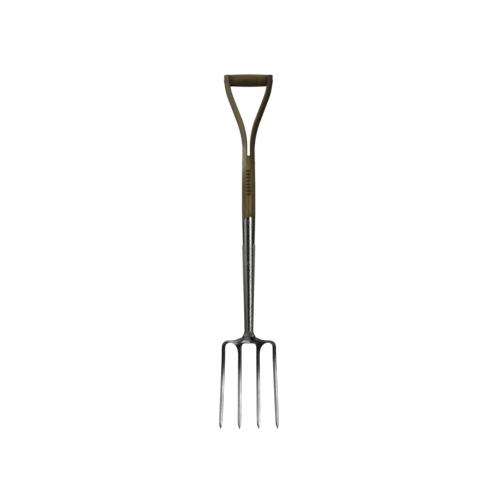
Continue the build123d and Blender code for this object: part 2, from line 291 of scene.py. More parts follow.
def head_cage():
    """The head's coarse mesh: its points and faces, and the creases of its edges."""
    strips, bar, centre = head_plan()
    quads = []
    for rows in strips:
        for low, high in zip(rows, rows[1:]):
            quads += [(low[j], low[j + 1], high[j + 1], high[j]) for j in range(len(low) - 1)]
    quads += [tuple(flip(p) for p in quad) for quad in quads]
    used = {}
    for quad in quads:
        for a, b in zip(quad, quad[1:] + quad[:1]):
            used[frozenset((a, b))] = used.get(frozenset((a, b)), 0) + 1
    rim = [tuple(edge) for edge, count in used.items() if count == 1]
    points, index = [], {}

    def at(key, x, y, z):
        if key not in index:
            index[key] = len(points)
            points.append((x * MM, y * MM, z * MM))
        return index[key]

    def front(p):
        return at(("front", p), p[0], band_y(p[1]) - p[2], p[1])

    def back(p):
        return at(("back", p), p[0], band_y(p[1]) + p[3], p[1])

    def side(p):
        lift = NECK_SHOULDER_LIFT if abs(p[0]) == centre[2][0] and p[1] == centre[2][1] else 0
        return at(("side", p), p[0], band_y(p[1]) + (p[3] - p[2]) / 2, p[1] + lift)

    faces = [tuple(front(p) for p in quad) for quad in quads]
    faces += [tuple(back(p) for p in quad) for quad in quads]
    crest = [row[2] for row in bar] + [centre[2]]
    crest_edges = [frozenset(pair) for pair in zip(crest, crest[1:])]
    crest_edges += [frozenset(flip(p) for p in edge) for edge in crest_edges]
    for a, b in rim:
        if frozenset((a, b)) not in crest_edges:
            faces += [(front(a), front(b), side(b), side(a)), (side(a), side(b), back(b), back(a))]

    axis = AXIS_Y / MM
    top = NECK_TOP / MM
    creases = {}
    for sign, mirror in ((1, same), (-1, flip)):
        for surface, depth in ((front, -1), (back, 1)):
            ring, disc = [], []
            for x, flat in zip(RING_X, DISC_X):
                y = depth * NECK_HALF_Y * sqrt(1 - (x / NECK_HALF_X) ** 2)
                ring.append(at(("ring", sign * x if x else 0, depth), sign * x, axis + y, top))
                disc.append(at(("disc", sign * flat if flat else 0), sign * flat, axis, top))
            edge = [surface(mirror(row[2])) for row in bar]
            for i in range(len(bar) - 1):
                faces.append((edge[i], edge[i + 1], ring[i + 1], ring[i]))
                faces.append((ring[i], ring[i + 1], disc[i + 1], disc[i]))
                creases[frozenset((ring[i], ring[i + 1]))] = RIM_CREASE
            end = mirror(centre[2])
            faces.append((edge[-1], surface(end), side(end), disc[-1], ring[-1]))
            creases[frozenset((ring[-1], disc[-1]))] = RIM_CREASE
    for a, b in rim:
        if frozenset((a, b)) not in crest_edges:
            for surface in (front, back):
                creases[frozenset((surface(a), surface(b)))] = EDGE_CREASE
    for rows in strips:
        for low, high in zip(rows, rows[1:]):
            if len(low) == 3:
                for mirror in (same, flip):
                    a, b = mirror(low[1]), mirror(high[1])
                    creases[frozenset((front(a), front(b)))] = RIDGE_CREASE
    return points, faces, creases


def build_head(material):
    points, faces, creases = head_cage()
    piece = new_piece("forged_head", points, faces)
    mesh = piece.data
    weights = mesh.attributes.new("crease_edge", "FLOAT", "EDGE")
    for edge in mesh.edges:
        weights.data[edge.index].value = creases.get(frozenset(edge.vertices), 0.0)
    modifier = piece.modifiers.new("subdivision", "SUBSURF")
    modifier.levels = modifier.render_levels = 3
    place(piece, "tine_head", material)


# --- Socket: a cone shell whose front and back run up the shaft as straps ---

COLLAR_Z = 0.523  # top of the closed cone, between the straps
SOCKET_BASE_R, SOCKET_COLLAR_R = 0.01269, 0.0190
STRAP_HALF = 0.0122
STRAP_CORNER = 0.005  # round at the foot of each strap
STRAP_FOOT = COLLAR_Z + STRAP_CORNER
SHELL = 0.0017
SOCKET_EDGE = 0.00045  # how far the shell's edges are rounded
FIXED_ANGLE_Z = 0.495  # below this the columns run straight down the cone
STRAP_STEPS, CORNER_STEPS, SIDE_STEPS = 10, 6, 9  # columns in a quarter of the socket
CONE_ROWS, COLLAR_ROWS, STRAP_ROWS = 40, 12, 26


def cone_radius(z):
    growth = (SOCKET_COLLAR_R - SOCKET_BASE_R) * (z - SOCKET_BASE) / (COLLAR_Z - SOCKET_BASE)
    return SOCKET_BASE_R + growth


def on_cone(x_or_share, z, is_share, quarter):
    """A point of the cone, by its distance from the middle plane or by its share of a side's arc."""
    radius, settled = cone_radius(z), cone_radius(max(z, FIXED_ANGLE_Z))
    if is_share:
        corner = asin((STRAP_HALF + STRAP_CORNER) / settled)
        angle = corner + (pi / 2 - corner) * x_or_share
    else:
        angle = asin(x_or_share / settled)
    x, y = radius * sin(angle), -radius * cos(angle)
    return (x * quarter[0], AXIS_Y + y * quarter[1], z)


def evenly(low, high, steps):
    """Heights above low, in even steps up to high."""
    return [low + (high - low) * k / steps for k in range(1, steps + 1)]


def socket_columns():
    """A quarter's columns: (distance or share, whether it is a share, top of the closed cone)."""
    columns = []
    for i in range(STRAP_STEPS + 1):
        columns.append((STRAP_HALF * sin(pi / 2 * i / STRAP_STEPS), False, STRAP_FOOT))
    for i in range(1, CORNER_STEPS + 1):
        turn = pi / 2 * i / CORNER_STEPS
        x = STRAP_HALF + STRAP_CORNER * (1 - cos(turn))
        columns.append((x, False, STRAP_FOOT - STRAP_CORNER * sin(turn)))
    for i in range(1, SIDE_STEPS + 1):
        columns.append((i / SIDE_STEPS, True, COLLAR_Z))
    return columns


def build_socket(material):
    columns = socket_columns()
    heights = list(np.linspace(SOCKET_BASE, FIXED_ANGLE_Z, CONE_ROWS))
    points, index, faces = [], {}, []

    def at(point):
        key = tuple(round(c, 7) for c in point)
        if key not in index:
            index[key] = len(points)
            points.append(point)
        return index[key]

    for quarter in ((1, 1), (-1, 1), (1, -1), (-1, -1)):
        grid, strap = [], []
        for value, is_share, top in columns:
            zs = heights + evenly(FIXED_ANGLE_Z, top, COLLAR_ROWS)
            grid.append([at(on_cone(value, z, is_share, quarter)) for z in zs])
        for x, _, _ in columns[:STRAP_STEPS + 1]:
            top = STRAP_TOP - STRAP_HALF + sqrt(max(STRAP_HALF**2 - x**2, 0))
            zs = [STRAP_FOOT] + evenly(STRAP_FOOT, top, STRAP_ROWS)
            strap.append([at(on_cone(x, z, False, quarter)) for z in zs])
        for block in (grid, strap):
            for left, right in zip(block, block[1:]):
                for k in range(len(left) - 1):
                    faces.append((left[k], right[k], right[k + 1], left[k + 1]))
    piece = new_piece("strapped_socket", points, faces)
    shell = piece.modifiers.new("shell", "SOLIDIFY")
    shell.thickness = SHELL
    shell.offset = -1
    soften(piece, SOCKET_EDGE)
    place(piece, "socket", material)


# --- Weld bead, run around the foot of the socket ---

WELD_FOOT_X, WELD_FOOT_Y = 0.0190, 0.0140  # half width and half depth of its foot
WELD_SEGMENTS, WELD_ROWS = 128, 22
WELD_FLARE = 1.7  # how soon the bead narrows to the cone
WELD_PROUD = 0.00015  # how far the bead's top stands off the cone
WELD_SINK = 0.0004  # how far its hidden inside lies within the cone
RIPPLE, LUMP, SWELL = 0.00022, 0.0006, 0.0003


def build_weld(material):
    points = []
    for i in range(WELD_ROWS):
        rise = i / (WELD_ROWS - 1)
        z = SOCKET_BASE + (WELD_TOP - SOCKET_BASE) * rise
        flare = (1 - rise) ** WELD_FLARE
        bead = sin(pi * min(rise * 1.15, 1)) ** 0.6
        for turn in turns(WELD_SEGMENTS):
            foot = hypot(WELD_FOOT_X * cos(turn), WELD_FOOT_Y * sin(turn))
            r = cone_radius(z) + WELD_PROUD + (foot - cone_radius(SOCKET_BASE)) * flare
            ripple = sin(30 * turn + 7 * rise + 1.6 * sin(3 * turn))
            lump = noise.noise(Vector((cos(turn) * 2.2, sin(turn) * 2.2, z * 160)))
            r += bead * (RIPPLE * ripple + LUMP * lump + SWELL)
            points.append((r * cos(turn), AXIS_Y + r * sin(turn), z))
    for z in (WELD_TOP, SOCKET_BASE):
        r = cone_radius(z) - WELD_SINK
        for turn in turns(WELD_SEGMENTS):
            points.append((r * cos(turn), AXIS_Y + r * sin(turn), z))
    piece = new_piece("weld_bead", points, closed_grid(WELD_ROWS + 2, WELD_SEGMENTS))
    place(piece, "socket_weld", material)


# --- Ash shaft: a stem that splits into the two bent limbs of the Y ---

SHAFT_R = 0.0195
SHAFT_FULL_Z = 0.615  # top of the taper that fills the socket
SHAFT_FOOT_R = 0.0112
WAIST_START_Z, WAIST_Z, WAIST_R = 0.690, 0.766, 0.0183
STEM_END_Z, STEM_END_R = 0.80, 0.0177
CROTCH_R = 0.0035  # half the width of the slot between the limbs
CROTCH_Z = 0.777
LIMB_X, LIMB_START_Z = 0.0103, 0.765
LIMB_END_X, LIMB_TOP_Z = 0.0615, shaft_high.z
LOWER_BEND_Z, UPPER_BEND_Z = 0.8375, 0.9703
LOWER_BEND_R, UPPER_BEND_R = 0.245, 0.170
# Tables of (way along the limb, size): its width, its depth and the rounding of its flat's edges
LIMB_WIDTH = ((0, 0.0142), (0.105, 0.0173), (0.25, 0.0164))
LIMB_DEPTH = ((0, 0.0354), (0.105, 0.0330), (0.25, 0.0310))
LIMB_EDGE = ((0, 0.0012), (0.07, 0.0048), (0.25, 0.0050))
LIMB_BLEND = 0.045  # way over which half of the stem turns into the limb's section
TOP_ROUND = 0.0008
EDGE_STEPS, ROUND_STEPS, FLAT_STEPS = 6, 34, 9
OPEN_COUNT = 2 * EDGE_STEPS + ROUND_STEPS + 1  # points of a half round, and with its flat
CLOSED_COUNT = OPEN_COUNT + FLAT_STEPS - 1
BUNCHING = 0.06  # how far a half round's points gather at its ends and its middle
STEM_RINGS = ((0.30, 0.60, 0.012), (0.60, 0.776, 0.004))  # (from, to, step)
LIMB_STEP = 0.0022


def along(table, way):
    return float(np.interp(way, *zip(*table)))


def stem_radius(z):
    heights = (shaft_low.z, SHAFT_FULL_Z, WAIST_START_Z, WAIST_Z, STEM_END_Z)
    return float(np.interp(z, heights, (SHAFT_FOOT_R, SHAFT_R, SHAFT_R, WAIST_R, STEM_END_R)))


def limb_frame(way):
    """The limb's middle line, a way along it from its start: (x, z, lean)."""
    full = atan2(LIMB_END_X - LIMB_X, UPPER_BEND_Z - LOWER_BEND_Z)
    lower_run, upper_run = LOWER_BEND_R * tan(full / 2), UPPER_BEND_R * tan(full / 2)
    middle = hypot(LIMB_END_X - LIMB_X, UPPER_BEND_Z - LOWER_BEND_Z) - lower_run - upper_run
    x, z, lean = LIMB_X, LIMB_START_Z, 0.0
    spans = [(LOWER_BEND_Z - lower_run - LIMB_START_Z, 0), (LOWER_BEND_R * full, full), (middle, 0)]
    for length, turn in spans + [(UPPER_BEND_R * full, -full), (1, 0)]:
        step = min(way, length)
        if turn:
            swing = turn * step / length
            radius = length / turn
            x += radius * (cos(lean) - cos(lean + swing))
            z += radius * (sin(lean + swing) - sin(lean))
            lean += swing
        else:
            x, z = x + step * sin(lean), z + step * cos(lean)
        way -= step
        if way <= 0:
            break
    return x, z, lean


def limb_outline(width, depth, edge):
    """A limb's half-round section: (out, back) points from the front of its flat to the back."""
    radius = (width**2 + (depth / 2) ** 2) / (2 * width)
    centre = width / 2 - radius
    edge_out = -width / 2 + edge
    edge_back = sqrt((radius - edge) ** 2 - (edge_out - centre) ** 2)
    start = atan2(edge_back, edge_out - centre)
    half = []
    for k in range(EDGE_STEPS):
        turn = pi + (start - pi) * k / EDGE_STEPS
        half.append((edge_out + edge * cos(turn), -edge_back - edge * sin(turn)))
    arc = []
    for k in range(ROUND_STEPS + 1):
        turn = -start + 2 * start * k / ROUND_STEPS
        arc.append((centre + radius * cos(turn), radius * sin(turn)))
    return half + arc + [(out, -back) for out, back in reversed(half)]


def half_round(radius, slot):
    """The half of a stem's ring that lies beyond x = slot, with as many points as a limb's."""
    start = asin(slot / radius)
    ring = []
    for k in range(OPEN_COUNT):
        share = k / (OPEN_COUNT - 1)
        share -= BUNCHING * sin(4 * pi * share) / (2 * pi)
        turn = start + (pi - 2 * start) * share
        ring.append((radius * sin(turn), -radius * cos(turn)))
    return ring


def flat_between(ring):
    """Points across the flat, from the back end of a ring to its front end."""
    (x0, y0), (x1, y1) = ring[-1], ring[0]
    shares = range(1, FLAT_STEPS)
    return [(x0 + (x1 - x0) * k / FLAT_STEPS, y0 + (y1 - y0) * k / FLAT_STEPS) for k in shares]


def limb_length():
    """The way along the limb at which it reaches its top, found by halving."""
    low, high = 0.2, 0.3
    for _ in range(40):
        way = (low + high) / 2
        low, high = (way, high) if limb_frame(way)[1] < LIMB_TOP_Z else (low, way)
    return low


def build_shaft(material):
    points, grain, faces = [], [], []

    def add_ring(ring, z):
        start = len(points)
        for x, y in ring:
            points.append((x, AXIS_Y + y, z))
            grain.append((x, y, z))
        return start

    def join(low, high, count, closed):
        for k in range(count if closed else count - 1):
            n = (k + 1) % count
            faces.append((low + k, low + n, high + n, high + k))

    stem_z = [shaft_low.z] + [z for rings in STEM_RINGS for z in np.arange(*rings)]
    rows = [add_ring(half_round(stem_radius(z), 0), z) for z in stem_z]
    for low, high in zip(rows, rows[1:]):
        join(low, high, OPEN_COUNT, False)
    bottom = add_ring([(0, 0)], shaft_low.z)
    faces.extend((rows[0] + k, rows[0] + k + 1, bottom) for k in range(OPEN_COUNT - 1))

    slot_rows = []
    for degrees in (0, 18, 36, 54, 72, 90):
        turn = radians(degrees)
        z = CROTCH_Z + CROTCH_R * (1 - cos(turn))
        ring = half_round(stem_radius(z), CROTCH_R * sin(turn))
        slot_rows.append(add_ring(ring + flat_between(ring), z))
    join(rows[-1], slot_rows[0], OPEN_COUNT, False)
    for low, high in zip(slot_rows, slot_rows[1:]):
        join(low, high, CLOSED_COUNT, True)

    length = limb_length()
    previous = slot_rows[-1]
    start_way = CROTCH_Z + CROTCH_R - LIMB_START_Z
    stations = [(way, 0) for way in np.arange(start_way + 0.002, length - 0.004, LIMB_STEP)]
    for degrees in (0, 22, 45, 68, 90):
        turn = radians(degrees)
        way = length - TOP_ROUND + TOP_ROUND * sin(turn)
        stations.append((way, TOP_ROUND * (1 - cos(turn))))
    for way, inset in stations:
        x0, z0, lean = limb_frame(way)
        width, depth = along(LIMB_WIDTH, way), along(LIMB_DEPTH, way)
        edge = along(LIMB_EDGE, way) - inset * 0.6
        limb = limb_outline(width - 2 * inset, depth - 2 * inset, edge)
        share = min(max((way - start_way) / LIMB_BLEND, 0), 1)
        share = share * share * (3 - 2 * share)
        stem = [(x - LIMB_X, y) for x, y in half_round(stem_radius(z0), CROTCH_R)]
        pairs = zip(stem, limb)
        ring = [(a[0] + (b[0] - a[0]) * share, a[1] + (b[1] - a[1]) * share) for a, b in pairs]
        ring += flat_between(ring)
        start = len(points)
        for out, back in ring:
            points.append((x0 + out * cos(lean), AXIS_Y + back, z0 - out * sin(lean)))
            grain.append((LIMB_X + out, back, LIMB_START_Z + way))
        join(previous, start, CLOSED_COUNT, True)
        previous = start
    x0, z0, lean = limb_frame(length)
    middle = len(points)
    points.append((x0, AXIS_Y, z0))
    grain.append((LIMB_X, 0, LIMB_START_Z + length))
    for k in range(CLOSED_COUNT):
        faces.append((previous + k, previous + (k + 1) % CLOSED_COUNT, middle))

    count = len(points)
    points += [(-x, y, z) for x, y, z in points]
    grain += [(-x, y, z) for x, y, z in grain]
    faces += [tuple(k + count for k in face) for face in faces]
    piece = new_piece("ash_shaft_and_limbs", points, faces)
    stored = piece.data.attributes.new("grain_pos", "FLOAT_VECTOR", "POINT")
    for k, value in enumerate(grain):
        stored.data[k].vector = value
    bm = bmesh.new()
    bm.from_mesh(piece.data)
    bmesh.ops.remove_doubles(bm, verts=bm.verts, dist=1e-6)
    bmesh.ops.recalc_face_normals(bm, faces=bm.faces)
    bm.to_mesh(piece.data)
    bm.free()
    place(piece, "ash_shaft", material)


# --- Cross grip, its rod and washers, and the rivets ---

GRIP_HALF = 0.0533
GRIP_MID_R, GRIP_END_R = 0.0182, 0.0168
GRIP_CHAMFER = 0.0009
GRIP_STEPS = 60
TURNING_MARKS = 0.00006  # height of the faint rings that the lathe left
BORE_R, TENON_R = 0.0031, 0.008
GRIP_ROD = (0.003, 0.0046, 0.0005)  # radius of the shank and of the head, height of the dome
CROTCH_PIN = (0.0024, 0.0038, 0.0003)
PROUD = 0.0001  # how far heads and washers stand off what they lie on
HEAD_SINK, HEAD_BEVEL = 0.0003, 0.0002
GRIP_WASHER = (0.00305, 0.0075)  # bore and rim radius
CROTCH_BURR = (0.00245, 0.0055)
# (radius, height off the strap), from the shank in the countersink to the middle of the head
RIVET_PROFILE = (
    (0.0029, -0.0016), (0.0042, -0.0002), (0.0045, 0.00005), (0.0041, 0.0001),
    (0.00322, 0.00012), (0.00161, 0.00012), (0, 0.00012)
)
WASHER_SINK, WASHER_BEVEL = 0.0016, 0.00035


def build_grip(material):
    end, reach, trim = grip_high.x, GRIP_HALF, GRIP_CHAMFER
    start = [(0, -end), (BORE_R, -end), (TENON_R, -end), (TENON_R, -reach)]
    start += [(GRIP_END_R - trim, -reach), (GRIP_END_R - trim / 3, -reach + trim / 3)]
    barrel = []
    for i in range(GRIP_STEPS + 1):
        share = -1 + 2 * i / GRIP_STEPS
        radius = GRIP_MID_R - (GRIP_MID_R - GRIP_END_R) * share**2
        radius += TURNING_MARKS * sin(90 * share + 2 * sin(7 * share))
        barrel.append((radius, (reach - trim) * share))
    profile = start + barrel + [(r, -d) for r, d in reversed(start)]
    piece = lathe("turned_grip", profile, Vector((0, AXIS_Y, GRIP_Z)), (1, 0, 0), 96)
    place(piece, "cross_grip", material)


def domed(radius, face, rise):
    """Profile of a hammered dome, from its edge at the face out to its crown."""
    steps = 6
    quarter = [pi / 2 * k / steps for k in range(steps)]
    return [(radius * cos(t), face + rise * sin(t)) for t in quarter] + [(0, face + rise)]


def two_headed(name, node, z, sizes, face, material):
    """A rod or rivet across the fork with a domed head at each end."""
    shank, head, rise = sizes
    edge = [(shank, face - HEAD_SINK), (head - HEAD_BEVEL, face - HEAD_SINK)]
    half = edge + domed(head, face, rise)
    profile = [(r, -d) for r, d in reversed(half)] + half
    piece = lathe(name, profile, Vector((0, AXIS_Y, z)), (1, 0, 0), 40)
    place(piece, node, material)


def washer(name, node, side, radii, face, back, z, material):
    (inner, outer), bevel = radii, WASHER_BEVEL
    ring = [(inner, back), (outer - bevel, back), (outer, back + bevel), (outer, face - bevel)]
    ring += [(outer - bevel * 0.3, face - bevel * 0.3), (outer - bevel, face)]
    ring += [(inner + bevel, face), (inner, face - bevel)]
    segments = 48
    points = []
    for r, d in ring:
        for turn in turns(segments):
            points.append((side * d, AXIS_Y + r * cos(turn), z + r * sin(turn)))
    piece = new_piece(name, points, closed_grid(len(ring), segments))
    place(piece, node, material)


def strap_rivet(name, node, z, material):
    """A countersunk rivet through both straps, its heads dressed to the curve of the straps."""
    face = cone_radius(z)
    half = [(radius, face + offset) for radius, offset in RIVET_PROFILE]
    profile = [(r, -d) for r, d in reversed(half)] + half
    piece = lathe(name, profile, Vector((0, AXIS_Y, z)), (0, 1, 0), 40)
    for vertex in piece.data.vertices:
        x, y = vertex.co.x, vertex.co.y - AXIS_Y
        if abs(y) > face / 2:
            drop = face - sqrt(cone_radius(vertex.co.z) ** 2 - x**2)
            vertex.co.y -= drop * copysign(1, y)
    place(piece, node, material)


# --- Materials ---

class Nodes:
    """Short names for one tree's nodes. A value is a number, a colour or a node's output."""

    def __init__(self, tree):
        self.tree = tree
        tree.nodes.clear()

    def add(self, kind, **settings):
        node = self.tree.nodes.new("ShaderNode" + kind)
        for name, value in settings.items():
            setattr(node, name, value)
        return node

    def put(self, value, socket):
        if isinstance(value, bpy.types.NodeSocket):
            self.tree.links.new(value, socket)
        elif value is not None:
            socket.default_value = value

    def fill(self, node, values):
        """Sets or links a node's inputs, by name."""
        for name, value in values.items():
            self.put(value, node.inputs[name])

    def math(self, operation, *values):
        node = self.add("Math", operation=operation)
        for value, socket in zip(values, node.inputs):
            self.put(value, socket)
        return node.outputs[0]

    def chain(self, operation, first, *others):
        for other in others:
            first = self.math(operation, first, other)
        return first

    def plus(self, *values):
        return self.chain("ADD", *values)

    def minus(self, a, b):
        return self.math("SUBTRACT", a, b)

    def times(self, *values):
        return self.chain("MULTIPLY", *values)

    def times_plus(self, a, b, c):
        return self.math("MULTIPLY_ADD", a, b, c)

    def most(self, *values):
        return self.chain("MAXIMUM", *values)

    def size(self, value):
        return self.math("ABSOLUTE", value)

    def scaled(self, vector, scale):
        node = self.add("VectorMath", operation="MULTIPLY")
        self.put(vector, node.inputs[0])
        node.inputs[1].default_value = scale
        return node.outputs[0]

    def split(self, vector):
        node = self.add("SeparateXYZ")
        self.put(vector, node.inputs[0])
        return node.outputs

    def noise(self, vector, scale, detail=2.0, roughness=0.5, distortion=0.0):
        node = self.add("TexNoise")
        self.fill(node, {"Vector": self.scaled(vector, scale), "Scale": 1.0, "Detail": detail})
        self.fill(node, {"Roughness": roughness, "Distortion": distortion})
        return node.outputs[0]

    def span(self, value, low, high, to_low=0.0, to_high=1.0, smooth=True):
        """Takes a value's range from low to high to the range from to_low to to_high."""
        node = self.add("MapRange")
        if smooth:
            node.interpolation_type = "SMOOTHSTEP"
        for item, socket in zip((value, low, high, to_low, to_high), node.inputs):
            self.put(item, socket)
        return node.outputs[0]

    def ramp(self, value, stops):
        node = self.add("ValToRGB")
        elements = node.color_ramp.elements
        while len(elements) < len(stops):
            elements.new(0.5)
        for element, (position, colour) in zip(elements, stops):
            element.position = position
            element.color = (*colour, 1) if isinstance(colour, tuple) else (colour,) * 3 + (1,)
        self.put(value, node.inputs[0])
        return node.outputs[0]

    def mix(self, share, a, b, blend="MIX"):
        node = self.add("Mix", data_type="RGBA", blend_type=blend)
        self.put(share, node.inputs[0])
        for value, socket in ((a, node.inputs[6]), (b, node.inputs[7])):
            self.put((*value, 1) if isinstance(value, tuple) else value, socket)
        return node.outputs[2]

    def bump(self, height, distance, normal=None):
        node = self.add("Bump")
        self.fill(node, {"Strength": 1.0, "Distance": distance, "Height": height, "Normal": normal})
        return node.outputs[0]


def new_material(name, tint):
    material = bpy.data.materials.new(name)
    material.use_nodes = True
    material.diffuse_color = (*tint, 1)
    nodes = Nodes(material.node_tree)
    output = nodes.add("OutputMaterial")
    shader = nodes.add("BsdfPrincipled")
    nodes.tree.links.new(shader.outputs[0], output.inputs[0])
    return material, nodes, shader


def object_coordinates(nodes):
    return nodes.add("TexCoord").outputs["Object"]


FORGE_SCALE = (0.060, 0.059, 0.055)


def crown_scale(nodes, where, smudge):
    """Where forge scale is left: on the tines' roots, most of the bar and the foot of the neck."""
    x, y, height = nodes.split(where)
    blot = nodes.minus(smudge, 0.5)
    shifted = nodes.times_plus(blot, 0.05, height)
    shifted = nodes.minus(shifted, nodes.span(x, 0.055, 0.072, 0.0, 0.032))
    roots = nodes.times(nodes.span(shifted, 0.118, 0.190), nodes.span(height, 0.2475, 0.237))
    right_arm = nodes.span(nodes.times_plus(blot, 0.012, x), -0.001, 0.005)
    left_arm = nodes.span(nodes.times_plus(blot, 0.02, x), -0.016, -0.024, 0.0, 0.4)
    shoulders = nodes.span(nodes.size(x), 0.050, 0.062, 0.0, 0.88)
    bar = nodes.times(nodes.most(right_arm, left_arm, shoulders), nodes.span(height, 0.228, 0.240))
    by_weld = nodes.span(nodes.times_plus(blot, 0.008, height), 0.2455, 0.2535, 0.0, 0.92)
    return nodes.most(roots, bar, by_weld)


def steel(name, colour, dull, rough, marks, waves, specks=0.55, crown=False):
    """Bare steel: brushed along the fork, slightly wavy, smudged, and scaled dark at a crown.

    rough is the roughness where it is brightest and dullest, and marks and waves are heights."""
    material, nodes, shader = new_material(name, colour)
    where = object_coordinates(nodes)
    brushed = nodes.noise(where, (1500, 1500, 22), 4, 0.6)
    scratches = nodes.noise(where, (620, 620, 60), 3, 0.65, 0.6)
    smudge = nodes.noise(where, (46, 46, 17), 5, 0.62, 0.4)
    wave = nodes.noise(where, (60, 60, 19), 2)
    speck = nodes.noise(where, (700, 700, 500), 2, 0.5)
    tone = nodes.mix(nodes.span(smudge, 0.35, 0.68), dull, colour)
    tone = nodes.mix(nodes.span(speck, 0.66, 0.78, 0, specks), tone, tuple(c * 0.4 for c in dull))
    if crown:
        tone = nodes.mix(nodes.times(crown_scale(nodes, where, smudge), 0.95), tone, FORGE_SCALE)
    shine = nodes.span(smudge, 0.3, 0.72, rough[1], rough[0])
    shine = nodes.times_plus(nodes.span(brushed, 0.45, 0.75), 0.07, shine)
    slow = nodes.bump(wave, waves)
    fine = nodes.bump(nodes.plus(brushed, nodes.span(scratches, 0.62, 0.70)), marks, slow)
    nodes.fill(shader, {"Base Color": tone, "Metallic": 1.0, "Roughness": shine, "Normal": fine})
    return material


WELD_HOLLOW, WELD_CREST = (0.085, 0.082, 0.072), (0.31, 0.30, 0.275)
WELD_PIT = (0.05, 0.045, 0.036)


def weld_material():
    """Weld metal: blotched, lumpy and pitted."""
    material, nodes, shader = new_material("weld_steel", (0.42, 0.41, 0.38))
    where = object_coordinates(nodes)
    blotch = nodes.noise(where, (130, 130, 150), 4, 0.6)
    pits = nodes.noise(where, (800, 800, 800), 3, 0.6)
    tone = nodes.mix(nodes.span(blotch, 0.36, 0.66), WELD_HOLLOW, WELD_CREST)
    tone = nodes.mix(nodes.span(pits, 0.6, 0.72), tone, WELD_PIT)
    shine = nodes.span(blotch, 0.3, 0.7, 0.42, 0.28)
    lumps = nodes.bump(pits, 0.0001, nodes.bump(blotch, 0.0004))
    nodes.fill(shader, {"Base Color": tone, "Metallic": 1.0, "Roughness": shine, "Normal": lumps})
    return material


MARK_LOW, MARK_HIGH, MARK_STEP = 0.662, 0.738, 0.0095
MARK_HALF = 0.0070


def burnt_mark(nodes, where):
    """A plain burnt row of lozenges and bars up the front of the shaft, as a 0 to 1 mask."""
    x, y, z = nodes.split(where)
    cell = nodes.math("FRACT", nodes.math("DIVIDE", nodes.minus(z, MARK_LOW), MARK_STEP))
    up = nodes.size(nodes.minus(cell, 0.5))
    out = nodes.math("DIVIDE", nodes.size(x), MARK_HALF)
    lozenge = nodes.times_plus(nodes.math("POWER", out, 2.0), 0.30, up)
    core = nodes.span(nodes.times_plus(out, 0.35, up), 0.08, 0.12, 1, 0)
    mark = nodes.minus(nodes.span(lozenge, 0.345, 0.385, 1, 0), nodes.times(core, 0.45))
    above, below = nodes.math("GREATER_THAN", z, MARK_LOW), nodes.math("LESS_THAN", z, MARK_HIGH)
    across, front = nodes.math("LESS_THAN", out, 1.0), nodes.math("LESS_THAN", y, 0.0)
    worn = nodes.noise(where, (420, 420, 240), 3, 0.6)
    return nodes.times(mark, across, above, below, front, nodes.span(worn, 0.3, 0.5, 0.6, 1.0))


ASH_STREAKS = [
    (0.28, (0.135, 0.086, 0.020)), (0.5, (0.265, 0.185, 0.052)), (0.72, (0.39, 0.290, 0.100))
]
RINGS_PER_METRE = 410.0
LATE_WOOD = (0.085, 0.056, 0.02)
DARK_STRIPE, PALE_STRIPE = (0.075, 0.055, 0.024), (0.42, 0.36, 0.21)
# Dark heartwood brown, also used as painted shade on the right side of the stem and on the right
# limb.
HEARTWOOD_AND_RIGHT_SHADE = (0.048, 0.031, 0.010)
# Grey of weathered ash, also used as a painted highlight on the left of the stem.
GREY_AND_HIGHLIGHT_TONE = (0.27, 0.235, 0.15)
PORE = (0.035, 0.024, 0.01)
STAIN = (0.07, 0.052, 0.026)
# Dark colour for hand grime and for painted shade.
GRIME_AND_SHADE = (0.024, 0.020, 0.014)
GRIP_TINT = (0.42, 0.355, 0.23)
# Colours of painted highlights: a pale patch and a light streak.
PAINTED_PALE_TONE = (0.52, 0.44, 0.28)
PAINTED_STREAK_TONE = (0.46, 0.35, 0.15)
CHAR = (0.013, 0.007, 0.003)


def grip_painted_shade(nodes, x, blotch, uneven):
    """Painted shade at the ends of the grip, where it meets the limbs, and along its underside."""
    reach = nodes.times_plus(nodes.minus(blotch, 0.5), 0.016, nodes.size(x))
    under = nodes.span(uneven, GRIP_Z + 0.004, GRIP_Z - 0.014, 0, 0.6)
    return nodes.most(nodes.span(reach, 0.040, 0.051, 0, 0.82), under)


def shaft_grime_and_shade(nodes, x, z, uneven):
    """Darkening above the socket, painted shade in the crotch, and grime where hands hold the limbs.
    """
    # Darker from just above the straps' tops down to the socket.
    by_socket = nodes.span(uneven, 0.612, 0.582, 0, 0.96)
    # Painted shade in the slot between the limbs.
    crotch_shade = nodes.span(z, CROTCH_Z - 0.004, CROTCH_Z + 0.01)
    crotch_shade = nodes.times(crotch_shade, nodes.span(nodes.size(x), 0.0075, 0.004), 0.7)
    return nodes.most(by_socket, crotch_shade, nodes.span(uneven, 0.90, 1.0, 0, 0.35))


def shaft_painted_highlights(nodes, tone, x, gx, gy, uneven):
    """Painted highlights: a pale patch on the front of the left limb's root, and a light streak
    above the socket.
    """
    # Painted highlight: a pale patch on the left front of the stem where the limbs begin.
    pale = nodes.times(nodes.span(gx, -0.005, -0.010), nodes.span(uneven, 0.725, 0.750, 0, 0.5))
    pale = nodes.times(pale, nodes.span(uneven, 0.820, 0.790), nodes.span(gy, 0.002, -0.007))
    tone = nodes.mix(pale, tone, PAINTED_PALE_TONE)
    # Painted highlight: a narrow light streak just right of the middle, above the socket.
    painted_streak = nodes.span(nodes.size(nodes.minus(x, 0.0045)), 0.0034, 0.0012)
    painted_streak = nodes.times(painted_streak, nodes.span(uneven, 0.672, 0.650, 0, 0.6))
    painted_streak = nodes.times(painted_streak, nodes.span(uneven, 0.600, 0.622))
    return nodes.mix(painted_streak, tone, PAINTED_STREAK_TONE)


